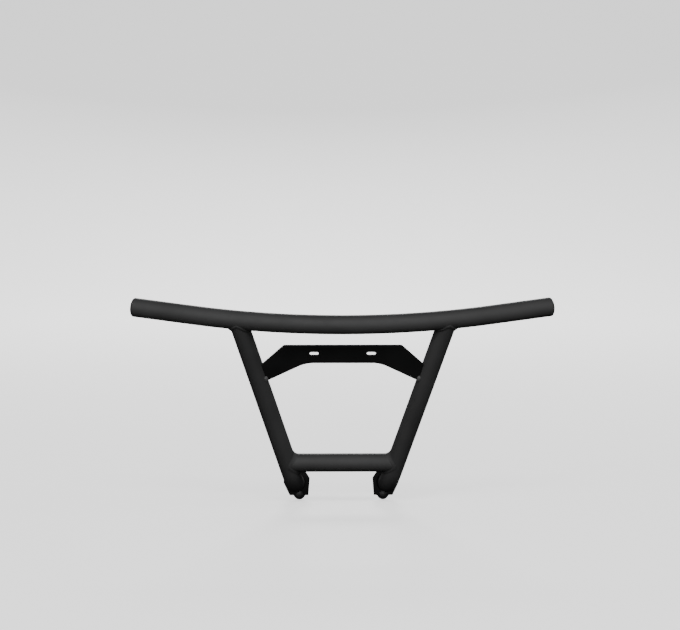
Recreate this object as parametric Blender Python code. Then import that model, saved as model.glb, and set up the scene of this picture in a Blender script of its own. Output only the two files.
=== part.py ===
"""Welded tube rear bumper for an all-terrain vehicle.

Metres, +Z up, in the attitude in which it is fitted: -Y is the rear, +Y is the
vehicle's side, and X runs across. The origin is the middle of the bridge
plate's forward face, the upper of the three faces that meet the vehicle.

The two uprights and the cross tube lie in one plane, the frame plane, which
leans rearward at its top. Places in it are given as (across, down, forward):
across is X, down runs along the frame plane from the top tube's joints, and
forward is square to the plane.
"""

import math

import bmesh
import bpy
from mathutils import Matrix, Vector

# Clearance between pieces that touch on the real bumper
GAP = 0.0003

# How far a fillet drawn as straight steps may stray from its arc
CHORD_ERROR = 0.0001

# Round steel tube, the same stock for all four tubes
TUBE_OD = 0.040
TUBE_WALL = 0.002
TUBE_SIDES = 28

# Frame plane
LEAN = math.radians(25.0)

# Top tube: a wide arc with straight tips, bent square to the frame plane
TOP_BEND_RADIUS = 1.210
TOP_BEND_ANGLE = math.radians(14.8)
TOP_BEND_STEPS = 16
TOP_TIP_LENGTH = 0.1305

# Uprights: straight and converging, then an elbow that turns them forward
SPREAD_AT_TOP = 0.219
SPREAD_AT_CROSS = 0.117
CROSS_DOWN = 0.355
ELBOW_BELOW_CROSS = 0.021
ELBOW_RADIUS = 0.060
ELBOW_STEPS = 10
LEG_RUN = 0.012

# Bridge plate: an arched plate between the uprights, slotted for the upper bolts
BRIDGE_THICKNESS = 0.005
BRIDGE_FORWARD = -0.007
BRIDGE_TOP_DOWN = 0.057
BRIDGE_ARCH_DOWN = 0.0995
BRIDGE_SHOULDER_DOWN = 0.1185
BRIDGE_HEEL_DOWN = 0.1515
BRIDGE_ARCH_HALF_WIDTH = 0.078
BRIDGE_ARCH_FILLET = 0.070
BRIDGE_SHOULDER_ANGLE = math.radians(45.0)
BRIDGE_CORNER_FILLET = 0.006
SLOT_DOWN = 0.077
SLOT_SPACING = 0.120
SLOT_WIDTH = 0.009
SLOT_LENGTH = 0.020

# Foot plates: upright plates on the ends of the legs, each with a bolt lug
FOOT_THICKNESS = 0.005
FOOT_MARGIN_OUT = 0.0055
FOOT_MARGIN_IN = 0.0116
FOOT_MARGIN_TOP = 0.0087
FOOT_MARGIN_BOTTOM = 0.0103
FOOT_SHOULDER = (0.0135, 0.0213)
FOOT_HEEL = (0.0132, 0.0278)
FOOT_TOE_INSET = 0.0028
FOOT_TOP_CORNER = 0.010
FOOT_CORNER_FILLET = 0.0012
LUG_INSET = 0.009
LUG_RADIUS = 0.0126
LUG_RISE = 0.0030
LUG_FLARE = math.radians(30.0)
LUG_ROOT_FILLET = 0.0025
PLATE_EDGE_BREAK = 0.0005

# Hexagon bolts and washers in the lugs
BOLT_DIAMETER = 0.008
BOLT_LENGTH = 0.025
BOLT_HEAD_FLATS = 0.013
BOLT_HEAD_HEIGHT = 0.0053
BOLT_CHAMFER = 0.0008
BOLT_HOLE_CLEARANCE = 0.0005
WASHER_OD = 0.015
WASHER_BORE_CLEARANCE = 0.0003
WASHER_THICKNESS = 0.0016
ROUND_STEPS = 24

# Moulded end plugs in the top tube
PLUG_RIM = 0.0008
PLUG_DOME = 0.0075
PLUG_DOME_STEPS = 6
PLUG_DEPTH = 0.016
PLUG_WALL = 0.0018
PLUG_RIB_COUNT = 3
PLUG_RIB_HEIGHT = 0.0008
PLUG_RIB_WIDTH = 0.0020

# Welds between tubes: leg and crown on the near and far sides of a joint and on its flanks.
# The near side is the outer one at the top tube and the lower one at the cross tube.
WELD_STEPS = 48
SEAM_ROUNDING = 0.004
WELD_ARC_STEPS = 4
TOP_WELD = {"near": (0.0055, -0.0003), "far": (0.0035, 0.0002), "flank": (0.0042, 0.0013)}
CROSS_WELD = {"near": (0.0050, -0.0005), "far": (0.0086, -0.0017), "flank": (0.0040, 0.0008)}

# Welds of the plates: a short stitch at the bridge plate's lower corners, a long bead on its forward face
STITCH_RADIUS = 0.0050
STITCH_LENGTH = 0.0035
STITCH_INSET = 0.0040
BRIDGE_BEAD_RADIUS = 0.0042
BRIDGE_BEAD_INSET = 0.0080
FOOT_BEAD_LEG = 0.0030
BEAD_SIDES = 16

# Finishes: colour, roughness, metallic
POWDER_COAT = ((0.022, 0.022, 0.024), 0.42, 0.0)
BLACK_PLASTIC = ((0.016, 0.016, 0.017), 0.60, 0.0)
DARK_ZINC = ((0.10, 0.10, 0.105), 0.38, 0.85)

TUBE_RADIUS = TUBE_OD / 2
BORE_RADIUS = TUBE_RADIUS - TUBE_WALL
ACROSS = Vector((1.0, 0.0, 0.0))
FORWARD_LEVEL = Vector((0.0, 1.0, 0.0))
DOWN = Vector((0.0, math.sin(LEAN), -math.cos(LEAN)))
FORWARD = Vector((0.0, math.cos(LEAN), math.sin(LEAN)))
BRIDGE_FACE = BRIDGE_FORWARD + BRIDGE_THICKNESS / 2
SIDES = (("left", -1), ("right", 1))


def frame_point(across, down, forward=0.0):
    """World place of a point given in the frame plane's own measures."""
    return ACROSS * across + DOWN * (down - SLOT_DOWN) + FORWARD * (forward - BRIDGE_FACE)


def clear_scene():
    for thing in list(bpy.data.objects):
        bpy.data.objects.remove(thing, do_unlink=True)


def bake(thing):
    """Replaces an object's modifiers by the mesh that they make."""
    evaluated = thing.evaluated_get(bpy.context.evaluated_depsgraph_get())
    mesh = bpy.data.meshes.new_from_object(evaluated)
    thing.modifiers.clear()
    thing.data = mesh


def finish(thing, look):
    """Bakes an object and gives it its own material and smooth shading with sharp edges."""
    bake(thing)
    colour, roughness, metallic = look
    material = bpy.data.materials.new(thing.name + "_finish")
    material.use_nodes = True
    shader = material.node_tree.nodes["Principled BSDF"]
    shader.inputs["Base Color"].default_value = (*colour, 1.0)
    shader.inputs["Roughness"].default_value = roughness
    shader.inputs["Metallic"].default_value = metallic
    thing.data.materials.append(material)
    thing.data.shade_smooth()
    thing.data.set_sharp_from_angle(angle=math.radians(35.0))


def add_object(name, shape, place=None):
    """Turns a finished bmesh into a scene object at the given matrix."""
    bmesh.ops.recalc_face_normals(shape, faces=shape.faces)
    mesh = bpy.data.meshes.new(name)
    shape.to_mesh(mesh)
    shape.free()
    thing = bpy.data.objects.new(name, mesh)
    bpy.context.scene.collection.objects.link(thing)
    if place is not None:
        thing.matrix_world = place
    return thing


def as_guide(thing):
    """Marks an object that only shapes others."""
    thing.hide_render = True
    thing.display_type = "WIRE"
    return thing


def combine(thing, other, operation):
    step = thing.modifiers.new(operation.lower() + "_" + other.name, "BOOLEAN")
    step.operation = operation
    step.object = other
    step.solver = "EXACT"


def cut(thing, *cutters):
    for cutter in cutters:
        combine(thing, cutter, "DIFFERENCE")
    return thing


def join_rings(shape, first, second):
    count = len(first)
    for k in range(count):
        shape.faces.new((first[k], first[(k + 1) % count], second[(k + 1) % count], second[k]))


def swept(name, path, square, radius, bore=None, sides=TUBE_SIDES):
    """Round bar or tube along a flat path of (point, tangent); square is the path plane's normal."""
    shape = bmesh.new()

    def rings(size):
        made = []
        for point, tangent in path:
            beside = tangent.cross(square)
            turn = [2 * math.pi * k / sides for k in range(sides)]
            made.append([shape.verts.new(point + size * (math.cos(a) * square + math.sin(a) * beside))
                         for a in turn])
        for first, second in zip(made, made[1:]):
            join_rings(shape, first, second)
        return made

    outer = rings(radius)
    if bore is None:
        shape.faces.new(outer[0])
        shape.faces.new(outer[-1])
    else:
        inner = rings(bore)
        join_rings(shape, outer[0], inner[0])
        join_rings(shape, outer[-1], inner[-1])
    return add_object(name, shape)


def turned(name, profile, place, steps=ROUND_STEPS, radius_at=None):
    """Solid of revolution about local Z; a closed profile off the axis makes a ring."""
    shape = bmesh.new()
    rings = []
    for radius, height in profile:
        if radius == 0:
            rings.append([shape.verts.new((0, 0, height))])
            continue
        ring = []
        for k in range(steps):
            a = 2 * math.pi * k / steps
            r, z = radius_at(radius, height, a) if radius_at else (radius, height)
            ring.append(shape.verts.new((r * math.cos(a), r * math.sin(a), z)))
        rings.append(ring)
    pairs = list(zip(rings, rings[1:]))
    if len(rings[0]) > 1:
        pairs.append((rings[-1], rings[0]))
    for first, second in pairs:
        if len(first) == 1 or len(second) == 1:
            tip, ring = (first[0], second) if len(first) == 1 else (second[0], first)
            for k in range(steps):
                shape.faces.new((tip, ring[k], ring[(k + 1) % steps]))
        else:
            join_rings(shape, first, second)
    return add_object(name, shape, place)


def facing(point, direction):
    """Matrix that puts local Z along a direction at a point."""
    return Matrix.Translation(point) @ direction.to_track_quat("Z", "Y").to_matrix().to_4x4()


def plate_place(point, down, forward):
    """Matrix whose axes are across, down and forward."""
    place = Matrix((ACROSS, down, forward)).transposed().to_4x4()
    place.translation = point
    return place


def rounded(corners):
    """Closed outline through (x, y, fillet) corners, each fillet drawn as an arc."""
    outline = []
    for k, (x, y, radius) in enumerate(corners):
        corner = Vector((x, y))
        back = (Vector(corners[k - 1][:2]) - corner).normalized()
        ahead = (Vector(corners[(k + 1) % len(corners)][:2]) - corner).normalized()
        if radius == 0:
            outline.append(corner)
            continue
        half = back.angle(ahead) / 2
        centre = corner + (back + ahead).normalized() * radius / math.sin(half)
        start = corner + back * radius / math.tan(half) - centre
        end = corner + ahead * radius / math.tan(half) - centre
        sweep = start.angle_signed(end)
        steps = math.ceil(abs(sweep) / (2 * math.acos(1 - CHORD_ERROR / radius)))
        for j in range(steps + 1):
            outline.append(centre + Matrix.Rotation(-sweep * j / steps, 2) @ start)
    return [p for k, p in enumerate(outline) if (p - outline[k - 1]).length > 1e-6]


def inset(outline, distance):
    """The outline drawn inward by a distance."""
    ahead = outline[1:] + outline[:1]
    turn = math.copysign(1, sum(here.cross(following) for here, following in zip(outline, ahead)))
    moved = []
    for k, (here, following) in enumerate(zip(outline, ahead)):
        run = (here - outline[k - 1]).normalized() + (following - here).normalized()
        inward = turn * Vector((-run.y, run.x))
        moved.append(here + inward * 2 * distance / inward.length_squared)
    return moved


def prism(name, outline, thickness, place, edge_break=0.0):
    """Flat outline in local XY, thickened evenly about local Z, with its rims broken if asked."""
    shape = bmesh.new()
    half = thickness / 2
    levels = [(outline, -half), (outline, half)]
    if edge_break:
        face = inset(outline, edge_break)
        side = half - edge_break
        levels = [(face, -half), (outline, -side), (outline, side), (face, half)]
    rings = [[shape.verts.new((p.x, p.y, height)) for p in ring] for ring, height in levels]
    shape.faces.new(rings[0])
    shape.faces.new(rings[-1])
    for first, second in zip(rings, rings[1:]):
        join_rings(shape, first, second)
    return add_object(name, shape, place)


def top_setback(across):
    """How far forward of its middle the top tube's axis lies at a distance across."""
    arc_half = TOP_BEND_RADIUS * math.sin(TOP_BEND_ANGLE)
    if across <= arc_half:
        return TOP_BEND_RADIUS - math.sqrt(TOP_BEND_RADIUS**2 - across**2)
    arc_depth = TOP_BEND_RADIUS * (1 - math.cos(TOP_BEND_ANGLE))
    return arc_depth + (across - arc_half) * math.tan(TOP_BEND_ANGLE)


def top_tangent(angle):
    return ACROSS * math.cos(angle) + FORWARD * math.sin(angle)


def top_path():
    """Axis of the top tube; it crosses the frame plane where the uprights meet it."""
    sag = top_setback(SPREAD_AT_TOP)
    path = []
    for k in range(TOP_BEND_STEPS + 1):
        angle = TOP_BEND_ANGLE * (2 * k / TOP_BEND_STEPS - 1)
        across = TOP_BEND_RADIUS * math.sin(angle)
        forward = TOP_BEND_RADIUS * (1 - math.cos(angle)) - sag
        path.append((frame_point(across, 0.0, forward), top_tangent(angle)))
    first, last = path[0], path[-1]
    path.insert(0, (first[0] - first[1] * TOP_TIP_LENGTH, first[1]))
    path.append((last[0] + last[1] * TOP_TIP_LENGTH, last[1]))
    return path


def upright_axis(side):
    """Top point and downward direction of an upright's straight length."""
    top = frame_point(side * SPREAD_AT_TOP, 0.0)
    return top, (frame_point(side * SPREAD_AT_CROSS, CROSS_DOWN) - top).normalized()


def upright_across(down):
    """Distance of an upright's axis from the middle, at a place down the frame."""
    return SPREAD_AT_TOP + (SPREAD_AT_CROSS - SPREAD_AT_TOP) * down / CROSS_DOWN


def upright_path(side):
    """Axis of an upright: straight, round the elbow to level, then a short run to the foot."""
    top, direction = upright_axis(side)
    straight = (CROSS_DOWN + ELBOW_BELOW_CROSS) / direction.dot(DOWN)
    bend_start = top + direction * straight
    inward = (FORWARD_LEVEL - direction * FORWARD_LEVEL.dot(direction)).normalized()
    turn = direction.angle(FORWARD_LEVEL)
    path = [(top, direction)]
    for k in range(ELBOW_STEPS + 1):
        a = turn * k / ELBOW_STEPS
        point = bend_start + ELBOW_RADIUS * (math.sin(a) * direction + (1 - math.cos(a)) * inward)
        path.append((point, math.cos(a) * direction + math.sin(a) * inward))
    path.append((path[-1][0] + FORWARD_LEVEL * LEG_RUN, FORWARD_LEVEL))
    return path, direction.cross(FORWARD_LEVEL).normalized()


def build_tubes():
    """The four tubes, and a slightly fat solid of each that copes whatever meets it."""
    fat = TUBE_RADIUS + GAP
    guides = {}
    top = top_path()
    swept("top_tube", top, DOWN, TUBE_RADIUS, BORE_RADIUS)
    guides["top"] = as_guide(swept("top_tube_envelope", top, DOWN, fat))
    for name, side in SIDES:
        path, square = upright_path(side)
        upright = swept(name + "_upright", path, square, TUBE_RADIUS, BORE_RADIUS)
        cut(upright, guides["top"])
        guides[name] = as_guide(swept(name + "_upright_envelope", path, square, fat))
    cross = [(frame_point(side * SPREAD_AT_CROSS, CROSS_DOWN), ACROSS) for _, side in SIDES]
    tube = swept("lower_cross_tube", cross, DOWN, TUBE_RADIUS, BORE_RADIUS)
    cut(tube, guides["left"], guides["right"])
    for name in ("top_tube", "left_upright", "right_upright", "lower_cross_tube"):
        finish(bpy.data.objects[name], POWDER_COAT)
    return guides


def slot_cutter(name, side):
    half_length, half_width = SLOT_LENGTH / 2, SLOT_WIDTH / 2
    corners = [(sx * half_length, sy * half_width, half_width)
               for sx, sy in ((-1, -1), (1, -1), (1, 1), (-1, 1))]
    centre = frame_point(side * SLOT_SPACING / 2, SLOT_DOWN, BRIDGE_FORWARD)
    return as_guide(prism(name, rounded(corners), 3 * BRIDGE_THICKNESS, plate_place(centre, DOWN, FORWARD)))


def build_bridge_plate(guides):
    """Arched plate let in between the uprights, coped to them, with two bolt slots."""
    shoulder = upright_across(BRIDGE_SHOULDER_DOWN)
    rise = BRIDGE_SHOULDER_DOWN - BRIDGE_TOP_DOWN
    top_corner = shoulder - rise / math.tan(BRIDGE_SHOULDER_ANGLE)
    half = [
        (BRIDGE_ARCH_HALF_WIDTH, BRIDGE_ARCH_DOWN, BRIDGE_ARCH_FILLET),
        (upright_across(BRIDGE_HEEL_DOWN), BRIDGE_HEEL_DOWN, 0),
        (shoulder, BRIDGE_SHOULDER_DOWN, 0),
        (top_corner, BRIDGE_TOP_DOWN, BRIDGE_CORNER_FILLET),
    ]
    corners = half + [(-x, y, r) for x, y, r in reversed(half)]
    outline = [Vector((p.x, p.y - SLOT_DOWN)) for p in rounded(corners)]
    place = plate_place(frame_point(0.0, SLOT_DOWN, BRIDGE_FORWARD), DOWN, FORWARD)
    plate = prism("bridge_plate", outline, BRIDGE_THICKNESS, place, PLATE_EDGE_BREAK)
    slots = [slot_cutter(name + "_slot_cutter", side) for name, side in SIDES]
    cut(plate, guides["left"], guides["right"], *slots)
    guides["bridge"] = as_guide(prism("bridge_plate_envelope", outline, BRIDGE_THICKNESS + 2 * GAP, place))
    finish(plate, POWDER_COAT)


def foot_corners(side):
    """Outline of a foot plate about the middle of the tube it closes: across, down, fillet."""
    outer = side * (TUBE_RADIUS + FOOT_MARGIN_OUT)
    inner = -side * (TUBE_RADIUS + FOOT_MARGIN_IN)
    top = -(TUBE_RADIUS + FOOT_MARGIN_TOP)
    bottom = TUBE_RADIUS + FOOT_MARGIN_BOTTOM
    lug = -side * LUG_INSET
    lug_root = LUG_RADIUS / math.cos(LUG_FLARE) - LUG_RISE * math.tan(LUG_FLARE)
    lug_corner = LUG_RADIUS * math.tan(math.pi / 4 - LUG_FLARE / 2)
    lug_bottom = bottom - LUG_RISE + LUG_RADIUS
    small = FOOT_CORNER_FILLET
    return [
        (inner, top + FOOT_SHOULDER[1], small),
        (inner + side * FOOT_SHOULDER[0], top, small),
        (outer - side * FOOT_TOP_CORNER, top, small),
        (outer, top + FOOT_TOP_CORNER, small),
        (outer, bottom - FOOT_HEEL[1], small),
        (outer - side * FOOT_HEEL[0], bottom, small),
        (lug + side * lug_root, bottom, LUG_ROOT_FILLET),
        (lug + side * lug_corner, lug_bottom, LUG_RADIUS),
        (lug - side * lug_corner, lug_bottom, LUG_RADIUS),
        (lug - side * lug_root, bottom, LUG_ROOT_FILLET),
        (inner + side * FOOT_TOE_INSET, bottom, small),
    ]


def foot_centre(side):
    """Middle of a foot plate's thickness, on the axis of the tube that it closes."""
    end = upright_path(side)[0][-1][0]
    return end + FORWARD_LEVEL * (GAP + FOOT_THICKNESS / 2)


def lug_centre(side):
    down = TUBE_RADIUS + FOOT_MARGIN_BOTTOM - LUG_RISE
    return foot_centre(side) + Vector((-side * LUG_INSET, 0.0, -down))


def build_foot(name, side):
    """Foot plate, with its bolt and washer entered from the rear."""
    down = Vector((0.0, 0.0, -1.0))
    place = plate_place(foot_centre(side), down, FORWARD_LEVEL)
    plate = prism(name + "_foot_plate", rounded(foot_corners(side)), FOOT_THICKNESS, place, PLATE_EDGE_BREAK)
    bolt_place = facing(lug_centre(side), -FORWARD_LEVEL)
    hole_radius = BOLT_DIAMETER / 2 + BOLT_HOLE_CLEARANCE
    reach = 2 * FOOT_THICKNESS
    hole = turned(name + "_lug_hole", [(0, -reach), (hole_radius, -reach), (hole_radius, reach), (0, reach)],
                  bolt_place)
    cut(plate, as_guide(hole))
    finish(plate, POWDER_COAT)

    seat = FOOT_THICKNESS / 2 + GAP
    bore = BOLT_DIAMETER / 2 + WASHER_BORE_CLEARANCE
    washer = turned(name + "_foot_washer", [(bore, seat), (WASHER_OD / 2, seat),
                                            (WASHER_OD / 2, seat + WASHER_THICKNESS),
                                            (bore, seat + WASHER_THICKNESS)], bolt_place)
    finish(washer, DARK_ZINC)
    build_bolt(name + "_foot_bolt", bolt_place, seat + WASHER_THICKNESS + GAP)


def build_bolt(name, place, seat):
    """Hexagon bolt: the head's flats and its turned chamfer come from one radius rule."""
    across_flats = BOLT_HEAD_FLATS / 2
    crown = across_flats * 0.95
    shank = BOLT_DIAMETER / 2
    top = seat + BOLT_HEAD_HEIGHT
    tip = seat - BOLT_LENGTH

    def hexagon(radius, height, angle):
        if radius <= crown:
            return radius, height
        flat_angle = (angle + math.pi / 6) % (math.pi / 3) - math.pi / 6
        corner = across_flats / math.cos(flat_angle)
        if height == seat:
            return corner, height
        return corner, top - (corner - crown) * math.tan(math.radians(30.0))

    profile = [(0, top), (crown, top), (across_flats, top), (across_flats, seat), (shank, seat),
               (shank, tip + BOLT_CHAMFER), (shank - BOLT_CHAMFER, tip), (0, tip)]
    finish(turned(name, profile, place, radius_at=hexagon), DARK_ZINC)


def build_end_plugs():
    """Plastic plugs: a domed cap over the tube's end and a ribbed hollow stem inside it."""
    rib_radius = BORE_RADIUS - GAP
    stem_radius = rib_radius - PLUG_RIB_HEIGHT
    hollow_radius = stem_radius - PLUG_WALL

    def dome(radius, height, base):
        turns = [math.pi / 2 * k / PLUG_DOME_STEPS for k in range(PLUG_DOME_STEPS + 1)]
        return [(radius * math.sin(a), base + height * math.cos(a)) for a in turns]

    profile = dome(TUBE_RADIUS, PLUG_DOME, GAP + PLUG_RIM) + [(TUBE_RADIUS, GAP), (stem_radius, GAP)]
    pitch = PLUG_DEPTH / (PLUG_RIB_COUNT + 0.5)
    for k in range(PLUG_RIB_COUNT):
        start = -pitch * (k + 0.6)
        profile += [(stem_radius, start), (rib_radius, start - PLUG_RIB_HEIGHT),
                    (stem_radius, start - PLUG_RIB_WIDTH)]
    profile += [(stem_radius, -PLUG_DEPTH), (hollow_radius, -PLUG_DEPTH)]
    profile += reversed(dome(hollow_radius, PLUG_DOME - PLUG_WALL, -PLUG_WALL))
    path = top_path()
    for (name, side), (point, tangent) in zip(SIDES, (path[0], path[-1])):
        finish(turned(name + "_end_plug", profile, facing(point, tangent * side), TUBE_SIDES), BLACK_PLASTIC)


class Joint:
    """Where one round tube, the branch, lands on another of the same diameter, the main.

    Angles run round the branch from its near side, the one that the main's direction points to.
    """

    def __init__(self, centre, main, branch):
        self.centre = centre
        self.main = main.normalized()
        self.branch = branch.normalized()
        self.near = (self.main - self.branch * self.main.dot(self.branch)).normalized()
        self.beside = self.branch.cross(self.near)

    def off_branch(self, angle):
        return math.cos(angle) * self.near + math.sin(angle) * self.beside

    def off_main(self, point):
        return (point - self.main * point.dot(self.main)).normalized()

    def seam(self, angle, radius):
        """Where the two tubes' surfaces cross, rounded at the flanks, from the joint's centre."""
        start = radius * self.off_branch(angle)
        start_off = start - self.main * start.dot(self.main)
        step_off = self.branch - self.main * self.branch.dot(self.main)
        slope = start_off.dot(step_off)
        room = slope**2 - step_off.length_squared * (start_off.length_squared - radius**2)
        reach = math.sqrt(max(0.0, room) + SEAM_ROUNDING**2)
        return start + self.branch * (reach - slope) / step_off.length_squared

    def on_main(self, point, angle, distance):
        """Slides a seam point over the main tube's surface, away from the branch."""
        turn = -distance * math.sin(angle) / (TUBE_RADIUS + GAP)
        slid = Matrix.Rotation(turn, 3, self.main) @ point
        return slid + self.main * distance * math.cos(angle)


def weld_size(weld, angle):
    """Leg and crown of a weld at an angle round its joint."""
    ends = math.cos(angle) ** 2
    near = ends * (1 + math.cos(angle)) / 2
    shares = {"near": near, "far": ends - near, "flank": 1 - ends}
    return [sum(shares[side] * weld[side][k] for side in shares) for k in range(2)]


def weld_ring(name, joint, weld):
    """Weld round a joint: a band whose feet lie on both tubes, crowned or hollow between them."""
    shape = bmesh.new()
    rings = []
    for k in range(WELD_STEPS):
        angle = 2 * math.pi * k / WELD_STEPS
        leg, crown = weld_size(weld, angle)
        seam = joint.seam(angle, TUBE_RADIUS + GAP)
        on_branch = seam + joint.branch * leg
        on_main = joint.on_main(seam, angle, leg)
        outward = (joint.off_branch(angle) + joint.off_main(seam)).normalized()
        section = [seam, joint.on_main(seam, angle, leg / 2), on_main]
        for j in range(1, WELD_ARC_STEPS):
            share = j / WELD_ARC_STEPS
            section.append(on_main.lerp(on_branch, share) + outward * crown * 4 * share * (1 - share))
        section.append(on_branch)
        rings.append([shape.verts.new(joint.centre + point) for point in section])
    for k in range(WELD_STEPS):
        join_rings(shape, rings[k - 1], rings[k])
    finish(add_object(name, shape), POWDER_COAT)


def build_top_weld(name, side):
    top, direction = upright_axis(side)
    tangent = top_tangent(side * math.asin(SPREAD_AT_TOP / TOP_BEND_RADIUS))
    weld_ring(name + "_top_weld", Joint(top, side * tangent, direction), TOP_WELD)


def build_cross_weld(name, side):
    direction = upright_axis(side)[1]
    corner = frame_point(side * SPREAD_AT_CROSS, CROSS_DOWN)
    weld_ring(name + "_cross_weld", Joint(corner, direction, -side * ACROSS), CROSS_WELD)


def bridge_seam(side, forward):
    """Ends of the line where an upright's inner flank meets the bridge plate, at one depth in it."""
    drift = (SPREAD_AT_TOP - SPREAD_AT_CROSS) / CROSS_DOWN
    flank = math.sqrt(TUBE_RADIUS**2 - forward**2) * math.hypot(1, drift)
    heel_slope = ((BRIDGE_HEEL_DOWN - BRIDGE_ARCH_DOWN)
                  / (upright_across(BRIDGE_HEEL_DOWN) - BRIDGE_ARCH_HALF_WIDTH))
    shoulder = BRIDGE_SHOULDER_DOWN - flank / (1 / math.tan(BRIDGE_SHOULDER_ANGLE) + drift)
    heel = BRIDGE_HEEL_DOWN - flank * heel_slope / (1 + heel_slope * drift)
    return [frame_point(side * (upright_across(down) - flank), down, forward) for down in (shoulder, heel)]


def build_bead(name, start, end, radius, *neighbours):
    """Round-ended bead along a corner, cut back from the pieces that it joins."""
    half_steps = 4
    profile = [(0, -radius)]
    for k in range(1, half_steps + 1):
        a = math.pi / 2 * k / half_steps
        profile.append((radius * math.sin(a), -radius * math.cos(a)))
    profile += [(around, (end - start).length - height) for around, height in reversed(profile)]
    bead = turned(name, profile, facing(start, end - start), BEAD_SIDES)
    cut(bead, *neighbours)
    finish(bead, POWDER_COAT)


def build_bridge_welds(name, side, guides):
    """A stitch at the plate's lower corner on the rear face, and a bead up its forward face."""
    neighbours = guides[name], guides["bridge"]
    shoulder, heel = bridge_seam(side, BRIDGE_FACE - BRIDGE_THICKNESS)
    along = (heel - shoulder).normalized()
    end = heel - along * STITCH_INSET
    build_bead(name + "_bridge_stitch", end - along * STITCH_LENGTH, end, STITCH_RADIUS, *neighbours)
    shoulder, heel = bridge_seam(side, BRIDGE_FACE)
    inset_ends = shoulder + along * BRIDGE_BEAD_INSET, heel - along * BRIDGE_BEAD_INSET
    build_bead(name + "_bridge_weld", *inset_ends, BRIDGE_BEAD_RADIUS, *neighbours)


def build_foot_weld(name, side):
    """Fillet ring in the corner between a leg's end and its foot plate, dressed back for the washer."""
    end = upright_path(side)[0][-1][0]
    inner = TUBE_RADIUS + GAP
    profile = [(inner, 0.0), (inner + FOOT_BEAD_LEG, 0.0)]
    arc_steps = 4
    for k in range(1, arc_steps):
        a = math.pi / 2 * k / arc_steps
        bulge = 0.8 * FOOT_BEAD_LEG
        profile.append((inner + bulge * math.cos(a), bulge * math.sin(a)))
    profile.append((inner, FOOT_BEAD_LEG))
    weld = turned(name + "_foot_weld", profile, facing(end, -FORWARD_LEVEL), TUBE_SIDES)
    room = WASHER_OD / 2 + GAP
    reach = FOOT_THICKNESS + FOOT_BEAD_LEG
    dressing = turned(name + "_washer_room", [(0, -reach), (room, -reach), (room, reach), (0, reach)],
                      facing(lug_centre(side), -FORWARD_LEVEL))
    cut(weld, as_guide(dressing))
    finish(weld, POWDER_COAT)


def drop_guides():
    for thing in list(bpy.data.objects):
        if thing.hide_render:
            bpy.data.objects.remove(thing, do_unlink=True)


def main():
    clear_scene()
    guides = build_tubes()
    build_bridge_plate(guides)
    build_end_plugs()
    for name, side in SIDES:
        build_foot(name, side)
        build_top_weld(name, side)
        build_cross_weld(name, side)
        build_bridge_welds(name, side, guides)
        build_foot_weld(name, side)
    drop_guides()


main()
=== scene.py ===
"""Finished look of the welded rear bumper: finishes, weld ripples, bolts, stage, light and camera."""

import math

import bmesh
import bpy
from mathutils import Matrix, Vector


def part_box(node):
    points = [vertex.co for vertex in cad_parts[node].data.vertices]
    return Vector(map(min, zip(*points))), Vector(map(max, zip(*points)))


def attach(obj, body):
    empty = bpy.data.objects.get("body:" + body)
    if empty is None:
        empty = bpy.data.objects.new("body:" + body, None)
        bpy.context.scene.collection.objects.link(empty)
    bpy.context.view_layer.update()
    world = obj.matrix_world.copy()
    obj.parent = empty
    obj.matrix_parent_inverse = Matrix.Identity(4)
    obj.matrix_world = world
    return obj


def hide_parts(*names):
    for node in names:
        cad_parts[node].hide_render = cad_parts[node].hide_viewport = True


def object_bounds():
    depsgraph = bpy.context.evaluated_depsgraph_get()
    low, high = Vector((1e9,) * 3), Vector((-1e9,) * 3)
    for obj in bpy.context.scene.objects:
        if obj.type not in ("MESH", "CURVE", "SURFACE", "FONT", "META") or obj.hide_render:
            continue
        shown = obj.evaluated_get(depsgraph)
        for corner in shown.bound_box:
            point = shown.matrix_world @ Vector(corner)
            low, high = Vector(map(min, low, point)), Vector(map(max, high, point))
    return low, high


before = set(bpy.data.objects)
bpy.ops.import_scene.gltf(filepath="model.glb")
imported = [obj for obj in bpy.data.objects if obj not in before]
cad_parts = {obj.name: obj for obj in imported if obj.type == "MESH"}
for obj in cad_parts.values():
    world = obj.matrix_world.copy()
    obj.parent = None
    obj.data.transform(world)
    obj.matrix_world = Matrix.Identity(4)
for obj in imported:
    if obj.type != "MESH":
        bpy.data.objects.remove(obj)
cad_low, cad_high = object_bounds()

SIDES = (("left", -1), ("right", 1))

# Frame plane of the bumper, and the middle of the top tube's joints
LEAN = math.radians(25.0)
ACROSS = Vector((1.0, 0.0, 0.0))
LEVEL = Vector((0.0, 1.0, 0.0))
DOWN = Vector((0.0, math.sin(LEAN), -math.cos(LEAN)))
FORWARD = Vector((0.0, math.cos(LEAN), math.sin(LEAN)))
JOINTS_UP = 0.077
JOINTS_FORWARD = 0.0045
JOINTS = DOWN * -JOINTS_UP + FORWARD * JOINTS_FORWARD

# Axes of the tubes
TOP_BEND_RADIUS = 1.210
TOP_BEND_ANGLE = math.radians(14.8)
SPREAD_AT_TOP = 0.219
SPREAD_AT_CROSS = 0.117
CROSS_DOWN = 0.355
ELBOW_BELOW_CROSS = 0.021
ELBOW_RADIUS = 0.060
AXIS_STEPS = 160

# Meshes: split corners that are one point, smooth shading, and the round walls of tubes and plugs
SAME_POINT = 0.00002
SAME_PLACE_DIGITS = 7
SMOOTH_ANGLE = math.radians(40.0)
ROUND_WALL_COSINE = 0.97
LEAST_SAGITTA = 0.00003

# Rounded edges of the plates and washers
FLAT_ANGLE = math.radians(2.0)
EDGE_ANGLE = math.radians(35.0)
EDGE_SEGMENTS = 2
PLATE_EDGE = 0.0007
WASHER_EDGE = 0.0003
LEVEL_FACE_COSINE = 0.985

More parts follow.
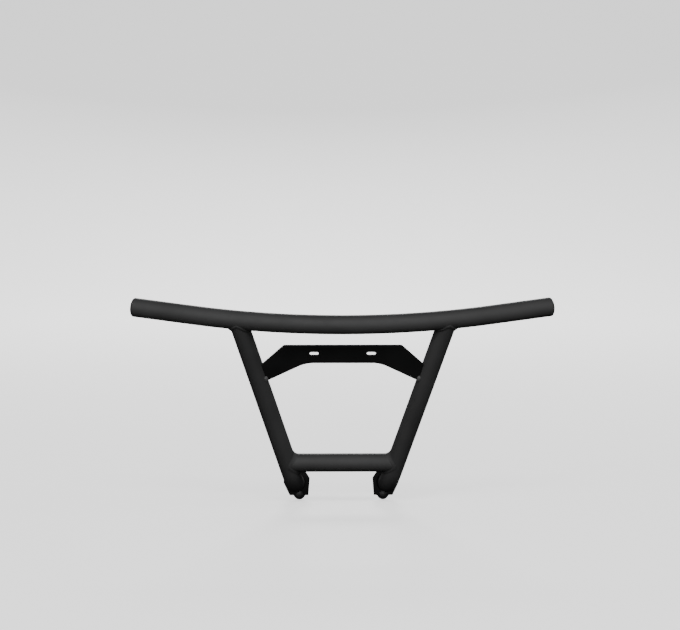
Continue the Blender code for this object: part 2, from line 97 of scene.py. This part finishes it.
# Weld ripples
RIPPLE_PITCH = 0.0034
RIPPLE_DEPTH = 0.00028
WELD_SUBDIVISIONS = 3
WELD_QUAD_ANGLE = math.radians(40.0)
WELD_QUAD_SKEW = math.radians(180.0)

# M8 foot bolts: hexagon head and coarse thread
BOLT_SIDES = 24
HEAD_HEIGHT = 0.0053
HEAD_FLATS = 0.013
HEAD_CROWN = 0.95
HEAD_CHAMFER = math.radians(30.0)
SHANK_RADIUS = 0.004
THREAD_PITCH = 0.00125
THREAD_DEPTH = 0.00060
THREAD_START = 0.0020
THREAD_ROWS_PER_TURN = 4
TIP_CHAMFER = 0.0009

# Powder coat on the tubes, and a lighter copy of it on the weld stitches as a painted highlight
COAT_SHADE = 0.041
COAT_ROUGHNESS = 0.67
STITCH_PAINTED_HIGHLIGHT_SHADE = 0.085
STITCH_ROUGHNESS = 0.60

# Camera, placed from the middle of the top tube's joints
CAMERA_FROM_JOINTS = Vector((-0.08875, -5.0, 0.44662))
CAMERA_PITCH = math.radians(4.988)
CAMERA_YAW = math.radians(0.9467)
CAMERA_REACH = 100.0
SENSOR_WIDTH = 36.0
FOCAL_WIDTHS = 3.5497

# Studio lights: degrees to the right of the camera's side, degrees up, width, height and watts
LIGHTS = {
    "front": (0.0, 8.0, 2.4, 0.9, 130.0),
    "high": (0.0, 45.0, 3.0, 1.4, 175.0),
    "left": (-45.0, 20.0, 3.0, 1.4, 75.0),
    "right": (80.0, 20.0, 3.0, 1.4, 95.0),
    "back": (180.0, 25.0, 2.0, 1.4, 230.0),
    "back_left": (-145.0, 22.0, 3.0, 1.4, 40.0),
    "back_right": (145.0, 22.0, 3.0, 1.4, 40.0),
}
LIGHT_TARGET = Vector((0.0, 0.02, -0.08))
LIGHT_DISTANCE = 6.5
WORLD_STRENGTH = 0.02

# Stage
FLOOR_RADIUS = 5.0
FLOOR_DROP = 0.0005
COVE_RADIUS = 2.5
COVE_STEPS = 12
WALL_HEIGHT = 6.0
STAGE_SIDES = 96
STAGE_GLOW = 1.15


def frame_point(across, down, forward=0.0):
    return JOINTS + ACROSS * across + DOWN * down + FORWARD * forward


def top_axis():
    """Points and tangents along the top tube's arc; its straight tips run on from the ends."""
    sag = TOP_BEND_RADIUS - math.sqrt(TOP_BEND_RADIUS**2 - SPREAD_AT_TOP**2)
    axis = []
    for k in range(AXIS_STEPS + 1):
        a = TOP_BEND_ANGLE * (2 * k / AXIS_STEPS - 1)
        forward = TOP_BEND_RADIUS * (1 - math.cos(a)) - sag
        tangent = ACROSS * math.cos(a) + FORWARD * math.sin(a)
        axis.append((frame_point(TOP_BEND_RADIUS * math.sin(a), 0.0, forward), tangent))
    return axis


def upright_axis(side):
    """Points and tangents along an upright: its straight length, then its elbow."""
    top = frame_point(side * SPREAD_AT_TOP, 0.0)
    direction = (frame_point(side * SPREAD_AT_CROSS, CROSS_DOWN) - top).normalized()
    bend = top + direction * ((CROSS_DOWN + ELBOW_BELOW_CROSS) / direction.dot(DOWN))
    inward = (LEVEL - direction * LEVEL.dot(direction)).normalized()
    turn = direction.angle(LEVEL)
    axis = [(top, direction)]
    for k in range(AXIS_STEPS + 1):
        a = turn * k / AXIS_STEPS
        point = bend + ELBOW_RADIUS * (math.sin(a) * direction + (1 - math.cos(a)) * inward)
        axis.append((point, math.cos(a) * direction + math.sin(a) * inward))
    return axis


def cross_axis():
    return [(frame_point(0.0, CROSS_DOWN), ACROSS)]


def across_axis(axis, point):
    """A point's offset from a tube's axis, square to it."""
    near, tangent = min(axis, key=lambda place: (point - place[0]).length_squared)
    offset = point - near
    return offset - tangent * offset.dot(tangent)


class Look:
    """A Principled material built up from procedural nodes in object space."""

    def __init__(self, name, roughness, metallic=0.0, specular=0.5):
        self.material = bpy.data.materials.new(name)
        self.material.use_nodes = True
        self.nodes = self.material.node_tree.nodes
        self.links = self.material.node_tree.links
        self.shader = self.nodes["Principled BSDF"]
        self.shader.inputs["Roughness"].default_value = roughness
        self.shader.inputs["Metallic"].default_value = metallic
        self.shader.inputs["Specular IOR Level"].default_value = specular
        self.place = self.nodes.new("ShaderNodeTexCoord").outputs["Object"]
        self.normal = None

    def noise(self, per_metre, detail, stretch=(1.0, 1.0, 1.0)):
        mapping = self.nodes.new("ShaderNodeMapping")
        mapping.inputs["Scale"].default_value = stretch
        self.links.new(self.place, mapping.inputs["Vector"])
        texture = self.nodes.new("ShaderNodeTexNoise")
        texture.inputs["Scale"].default_value = per_metre
        texture.inputs["Detail"].default_value = detail
        self.links.new(mapping.outputs["Vector"], texture.inputs["Vector"])
        return texture.outputs["Fac"]

    def colour(self, value, dark, light, start=0.35, end=0.65):
        """Base colour that runs from dark to light with the value."""
        ramp = self.nodes.new("ShaderNodeValToRGB")
        ramp.color_ramp.elements[0].position = start
        ramp.color_ramp.elements[0].color = (*dark, 1.0)
        ramp.color_ramp.elements[1].position = end
        ramp.color_ramp.elements[1].color = (*light, 1.0)
        self.links.new(value, ramp.inputs["Fac"])
        self.links.new(ramp.outputs["Color"], self.shader.inputs["Base Color"])

    def rough(self, value, low, high, start=0.3, end=0.7):
        """Roughness that runs from low to high with the value."""
        remap = self.nodes.new("ShaderNodeMapRange")
        remap.inputs["From Min"].default_value = start
        remap.inputs["From Max"].default_value = end
        remap.inputs["To Min"].default_value = low
        remap.inputs["To Max"].default_value = high
        self.links.new(value, remap.inputs["Value"])
        self.links.new(remap.outputs["Result"], self.shader.inputs["Roughness"])

    def bump(self, value, depth, strength):
        """One more layer of relief, over those already there."""
        node = self.nodes.new("ShaderNodeBump")
        node.inputs["Distance"].default_value = depth
        node.inputs["Strength"].default_value = strength
        self.links.new(value, node.inputs["Height"])
        if self.normal is not None:
            self.links.new(self.normal, node.inputs["Normal"])
        self.normal = node.outputs["Normal"]
        self.links.new(self.normal, self.shader.inputs["Normal"])


def grey(value):
    return (value, value, value * 1.01)


def powder_coat(name, shade, roughness):
    """Matte black powder coat: faint cloudiness, orange peel and a fine grain."""
    look = Look(name, roughness)
    look.colour(look.noise(per_metre=9.0, detail=3.0), dark=grey(shade * 0.88), light=grey(shade * 1.12))
    look.rough(look.noise(per_metre=35.0, detail=3.0), low=roughness - 0.04, high=roughness + 0.04)
    look.bump(look.noise(per_metre=420.0, detail=1.5), depth=0.00025, strength=0.35)
    look.bump(look.noise(per_metre=2200.0, detail=1.0), depth=0.00006, strength=0.30)
    return look.material


def plate_painted_shade_coat():
    """Darker, drier coat on the cut plates: painted shade, the tubes' black coat darkened for the shade
    that falls on the plates.
    """
    look = Look("plate_painted_shade_coat", roughness=0.7, specular=0.15)
    look.colour(look.noise(per_metre=14.0, detail=3.0), dark=grey(0.0075), light=grey(0.0105))
    look.rough(look.noise(per_metre=50.0, detail=3.0), low=0.64, high=0.76)
    look.bump(look.noise(per_metre=600.0, detail=1.5), depth=0.0002, strength=0.30)
    return look.material


def plug_plastic():
    """Moulded black plastic with a fine spark-eroded grain."""
    look = Look("plug_plastic", roughness=0.68, specular=0.45)
    look.colour(look.noise(per_metre=40.0, detail=2.0),
                dark=(0.034, 0.034, 0.0345), light=(0.042, 0.042, 0.0425))
    look.rough(look.noise(per_metre=120.0, detail=2.0), low=0.62, high=0.74)
    look.bump(look.noise(per_metre=1500.0, detail=2.0), depth=0.00012, strength=0.5)
    return look.material


def dark_zinc():
    """Dark zinc plate on the bolts and washers, with a slightly blotched, brushed skin."""
    look = Look("dark_zinc", roughness=0.5, metallic=0.8)
    look.colour(look.noise(per_metre=260.0, detail=3.0), dark=grey(0.030), light=grey(0.055))
    look.rough(look.noise(per_metre=500.0, detail=2.0), low=0.44, high=0.58)
    brushed = look.noise(per_metre=2600.0, detail=2.0, stretch=(1.0, 0.1, 1.0))
    look.bump(brushed, depth=0.00005, strength=0.4)
    return look.material


def stage_paint():
    """Pale matte paint that glows a little, so that it stays even."""
    look = Look("stage_paint", roughness=0.9, specular=0.1)
    look.colour(look.noise(per_metre=0.4, detail=2.0), dark=(0.80, 0.80, 0.80), light=(0.83, 0.83, 0.83))
    look.shader.inputs["Emission Color"].default_value = (1.0, 1.0, 1.0, 1.0)
    look.shader.inputs["Emission Strength"].default_value = STAGE_GLOW
    look.material.cycles.emission_sampling = "NONE"
    return look.material


def add_piece(name, shape, material, slot, *nodes, axis=None):
    """New smooth piece on the one body, in place of the named CAD nodes."""
    bmesh.ops.recalc_face_normals(shape, faces=shape.faces)
    mesh = bpy.data.meshes.new(name)
    shape.to_mesh(mesh)
    shape.free()
    mesh.shade_smooth()
    mesh.set_sharp_from_angle(angle=SMOOTH_ANGLE)
    if axis:
        round_normals(mesh, axis)
    mesh.materials.append(material)
    piece = bpy.data.objects.new(name, mesh)
    bpy.context.scene.collection.objects.link(piece)
    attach(piece, "root")
    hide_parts(*nodes)
    return piece


def round_normals(mesh, axis):
    """Shading square to a tube's axis on its walls, inside and out, and flat on its cut ends."""
    away = [across_axis(axis, vertex.co).normalized() for vertex in mesh.vertices]
    normals = []
    for face in mesh.polygons:
        for k in face.vertices:
            turn = away[k].dot(face.normal)
            if abs(turn) < ROUND_WALL_COSINE:
                normals.append(face.normal.copy())
            else:
                normals.append(away[k] if turn > 0 else -away[k])
    mesh.normals_split_custom_set(normals)


def flat_normals(mesh):
    """Flat shading on a plate's faces, turning over only along its rounded edges."""
    leaning = [Vector() for vertex in mesh.vertices]
    for face in mesh.polygons:
        for k in face.vertices:
            leaning[k] += face.normal * face.area
    leaning = [normal.normalized() for normal in leaning]
    normals = []
    for face in mesh.polygons:
        level = all(leaning[k].dot(face.normal) > LEVEL_FACE_COSINE for k in face.vertices)
        normals += [face.normal.copy() if level else leaning[k] for k in face.vertices]
    mesh.shade_smooth()
    mesh.normals_split_custom_set(normals)


def merged(node):
    """Copy of a CAD node's mesh with its split corners joined again."""
    shape = bmesh.new()
    shape.from_mesh(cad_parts[node].data)
    bmesh.ops.remove_doubles(shape, verts=shape.verts, dist=SAME_POINT)
    return shape


def place_key(point):
    return tuple(round(part, SAME_PLACE_DIGITS) for part in point)


def rounder(shape, axis):
    """Split each flat of a tube's walls along its middle and lift the new edge onto the circle."""
    reach = {vertex: across_axis(axis, vertex.co).length for vertex in shape.verts}
    chords = []
    radius_at = {}
    for edge in shape.edges:
        radius = (reach[edge.verts[0]] + reach[edge.verts[1]]) / 2
        middle = (edge.verts[0].co + edge.verts[1].co) / 2
        if radius - across_axis(axis, middle).length > LEAST_SAGITTA:
            chords.append(edge)
            radius_at[place_key(middle)] = radius
    bmesh.ops.subdivide_edges(shape, edges=chords, cuts=1)
    for vertex in shape.verts:
        radius = radius_at.get(place_key(vertex.co))
        if radius and vertex not in reach:
            offset = across_axis(axis, vertex.co)
            vertex.co += offset.normalized() * (radius - offset.length)


def smooth_node(node, material, slot, axis):
    """The node's own shape, with rounder walls that are shaded square to its axis."""
    shape = merged(node)
    rounder(shape, axis)
    return add_piece(node + "_finish", shape, material, slot, node, axis=axis)


def soft_edged(node, material, slot, width):
    """Flat plate with the small rounds that its coat gives to cut edges."""
    shape = merged(node)
    bmesh.ops.dissolve_limit(shape, angle_limit=FLAT_ANGLE, verts=shape.verts, edges=shape.edges)
    sharp = [edge for edge in shape.edges if edge.calc_face_angle(0.0) > EDGE_ANGLE]
    bmesh.ops.bevel(shape, geom=sharp, offset=width, segments=EDGE_SEGMENTS, profile=0.5, affect="EDGES",
                    clamp_overlap=True, miter_outer="ARC")
    piece = add_piece(node + "_coated", shape, material, slot, node)
    flat_normals(piece.data)
    return piece


def ripple_weld(node, material, phase_of):
    """Finer copy of a weld, drawn into the overlapping ripples of a hand-laid bead."""
    shape = merged(node)
    bmesh.ops.join_triangles(shape, faces=shape.faces, angle_face_threshold=WELD_QUAD_ANGLE,
                             angle_shape_threshold=WELD_QUAD_SKEW)
    bmesh.ops.subdivide_edges(shape, edges=shape.edges, cuts=WELD_SUBDIVISIONS, use_grid_fill=True)
    shape.normal_update()
    middle = sum((vertex.co for vertex in shape.verts), Vector()) / len(shape.verts)
    moves = []
    for vertex in shape.verts:
        wave = 0.5 - 0.5 * math.cos(phase_of(vertex.co - middle))
        moves.append(vertex.normal * -RIPPLE_DEPTH * wave)
    for vertex, move in zip(shape.verts, moves):
        vertex.co += move
    return add_piece(node + "_bead", shape, material, "powder_coat", node)


def ring_phase(axis, reach):
    """Phase of ripples that run round an axis."""
    across = axis.orthogonal().normalized()
    beside = axis.cross(across)
    count = round(2 * math.pi * reach / RIPPLE_PITCH)
    return lambda offset: count * math.atan2(offset.dot(beside), offset.dot(across))


def line_phase(axis):
    """Phase of ripples that run along an axis."""
    return lambda offset: 2 * math.pi * offset.dot(axis) / RIPPLE_PITCH


def skin(shape, rings):
    """Faces between each two neighbouring rings of points."""
    for first, second in zip(rings, rings[1:]):
        for k in range(len(first)):
            following = (k + 1) % len(first)
            shape.faces.new((first[k], second[k], second[following], first[following]))


def hexagon(angle):
    """Distance from the bolt's axis to its head's side, with flats across X."""
    flat = (angle + math.pi / 6) % (math.pi / 3) - math.pi / 6
    return HEAD_FLATS / 2 / math.cos(flat)


def thread(angle, along):
    """Distance from the bolt's axis to its thread."""
    turns = along / THREAD_PITCH - angle / (2 * math.pi)
    return SHANK_RADIUS - THREAD_DEPTH * (0.5 + 0.5 * math.cos(2 * math.pi * turns))


def bolt_profile(angle, length):
    """Radius and place along the bolt, from its head's face to its tip, at one angle."""
    crown = HEAD_FLATS / 2 * HEAD_CROWN
    side = hexagon(angle)
    start = HEAD_HEIGHT + THREAD_START
    profile = [
        (crown, 0.0),
        (side, (side - crown) * math.tan(HEAD_CHAMFER)),
        (side, HEAD_HEIGHT),
        (SHANK_RADIUS, HEAD_HEIGHT),
        (SHANK_RADIUS, start),
    ]
    pitch = THREAD_PITCH / THREAD_ROWS_PER_TURN
    count = int((length - TIP_CHAMFER - HEAD_HEIGHT - THREAD_START) / pitch)
    for k in range(1, count + 1):
        along = start + k * pitch
        profile.append((thread(angle, along), along))
    profile.append((SHANK_RADIUS - TIP_CHAMFER, length))
    return profile


def build_bolt(node, material):
    """Hexagon bolt along Y with a cut thread, in the place of the plain one."""
    low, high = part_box(node)
    face_centre = Vector(((low.x + high.x) / 2, low.y, (low.z + high.z) / 2))
    angles = [2 * math.pi * k / BOLT_SIDES for k in range(BOLT_SIDES)]
    profiles = [bolt_profile(angle, high.y - low.y) for angle in angles]
    shape = bmesh.new()
    rings = []
    for row in zip(*profiles):
        ring = []
        for angle, (radius, along) in zip(angles, row):
            offset = Vector((radius * math.cos(angle), along, radius * math.sin(angle)))
            ring.append(shape.verts.new(face_centre + offset))
        rings.append(ring)
    shape.faces.new(rings[0])
    shape.faces.new(rings[-1])
    skin(shape, rings)
    return add_piece(node + "_threaded", shape, material, "fastener", node)


def dress_frame(coat, plate, plastic, zinc):
    """Tubes, plates, plugs, washers and bolts."""
    smooth_node("top_tube", coat, "powder_coat", top_axis())
    smooth_node("lower_cross_tube", coat, "powder_coat", cross_axis())
    # The plates take the darker coat: painted shade.
    soft_edged("bridge_plate", plate, "powder_coat", PLATE_EDGE)
    for name, side in SIDES:
        smooth_node(name + "_upright", coat, "powder_coat", upright_axis(side))
        plug = merged(name + "_end_plug")
        rounder(plug, top_axis())
        add_piece(name + "_end_plug_finish", plug, plastic, "end_plug", name + "_end_plug")
        soft_edged(name + "_foot_plate", plate, "powder_coat", PLATE_EDGE)
        soft_edged(name + "_foot_washer", zinc, "fastener", WASHER_EDGE)
        build_bolt(name + "_foot_bolt", zinc)


def dress_welds(coat, stitch_painted_highlight_coat, plate):
    """Beads round the tubes' ends, and beads and stitches down the bridge plate's seams. The foot beads
    carry the plates' painted shade, and the stitches carry a painted highlight.
    """
    low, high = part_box("lower_cross_tube")
    reach = (high.z - low.z) / 2
    for name, side in SIDES:
        upright = upright_axis(side)[0][1]
        ripple_weld(name + "_top_weld", coat, ring_phase(upright, reach))
        ripple_weld(name + "_cross_weld", coat, ring_phase(ACROSS, reach))
        # The foot beads take the plates' dark coat: painted shade beside the leg ends.
        ripple_weld(name + "_foot_weld", plate, ring_phase(LEVEL, reach))
        ripple_weld(name + "_bridge_weld", coat, line_phase(upright))
        # The stitches take the lighter copy of the coat: a painted highlight.
        ripple_weld(name + "_bridge_stitch", stitch_painted_highlight_coat, line_phase(upright))


def stage_profile():
    """Radius and height of the stage's rings: the floor's edge, the cove and the wall's top."""
    profile = [(FLOOR_RADIUS, 0.0)]
    for k in range(1, COVE_STEPS + 1):
        a = math.pi / 2 * k / COVE_STEPS
        profile.append((FLOOR_RADIUS + COVE_RADIUS * math.sin(a), COVE_RADIUS * (1 - math.cos(a))))
    profile.append((FLOOR_RADIUS + COVE_RADIUS, WALL_HEIGHT))
    return profile


def build_stage(low, high):
    """Round floor that curves up into a wall, just under the bumper's feet."""
    shape = bmesh.new()
    hub = shape.verts.new((0, 0, 0))
    turns = [2 * math.pi * k / STAGE_SIDES for k in range(STAGE_SIDES)]
    rings = []
    for radius, height in stage_profile():
        rings.append([shape.verts.new((radius * math.cos(a), radius * math.sin(a), height)) for a in turns])
    for k in range(STAGE_SIDES):
        shape.faces.new((hub, rings[0][k], rings[0][(k + 1) % STAGE_SIDES]))
    skin(shape, rings)
    mesh = bpy.data.meshes.new("floor")
    shape.to_mesh(mesh)
    shape.free()
    mesh.shade_smooth()
    mesh.materials.append(stage_paint())
    floor = bpy.data.objects.new("floor", mesh)
    floor.location = ((low.x + high.x) / 2, (low.y + high.y) / 2, low.z - FLOOR_DROP)
    bpy.context.scene.collection.objects.link(floor)
    floor.visible_diffuse = False
    floor.visible_glossy = False
    floor.visible_shadow = False


def add_light(name, turn, rise, width, height, power):
    """Soft area light that faces the bumper."""
    turn, rise = math.radians(turn), math.radians(rise)
    outward = Vector((math.sin(turn) * math.cos(rise), -math.cos(turn) * math.cos(rise), math.sin(rise)))
    data = bpy.data.lights.new(name, "AREA")
    data.shape = "RECTANGLE"
    data.size, data.size_y = width, height
    data.energy = power
    lamp = bpy.data.objects.new(name, data)
    lamp.location = LIGHT_TARGET + outward * LIGHT_DISTANCE
    lamp.rotation_euler = (-outward).to_track_quat("-Z", "Y").to_euler()
    lamp.visible_camera = False
    bpy.context.scene.collection.objects.link(lamp)


def build_light():
    """Soft light from the camera's side, low and high, from both sides and from behind."""
    world = bpy.data.worlds.new("studio")
    world.use_nodes = True
    world.node_tree.nodes["Background"].inputs["Strength"].default_value = WORLD_STRENGTH
    bpy.context.scene.world = world
    for name, setting in LIGHTS.items():
        add_light(name, *setting)


def build_camera():
    data = bpy.data.cameras.new("camera")
    data.sensor_width = SENSOR_WIDTH
    data.lens = FOCAL_WIDTHS * SENSOR_WIDTH
    data.clip_end = CAMERA_REACH
    camera = bpy.data.objects.new("camera", data)
    camera.location = JOINTS + CAMERA_FROM_JOINTS
    camera.rotation_euler = (math.pi / 2 - CAMERA_PITCH, 0.0, -CAMERA_YAW)
    bpy.context.scene.collection.objects.link(camera)
    bpy.context.scene.camera = camera


coat = powder_coat("powder_coat", COAT_SHADE, COAT_ROUGHNESS)
# Lighter copy of the powder coat for the stitches: a painted highlight.
stitch_painted_highlight_coat = powder_coat("stitch_painted_highlight_coat", STITCH_PAINTED_HIGHLIGHT_SHADE, STITCH_ROUGHNESS)
# Darker coat for the plates and the foot beads: painted shade.
plate = plate_painted_shade_coat()
dress_frame(coat, plate, plug_plastic(), dark_zinc())
dress_welds(coat, stitch_painted_highlight_coat, plate)
build_stage(cad_low, cad_high)
build_light()
build_camera()
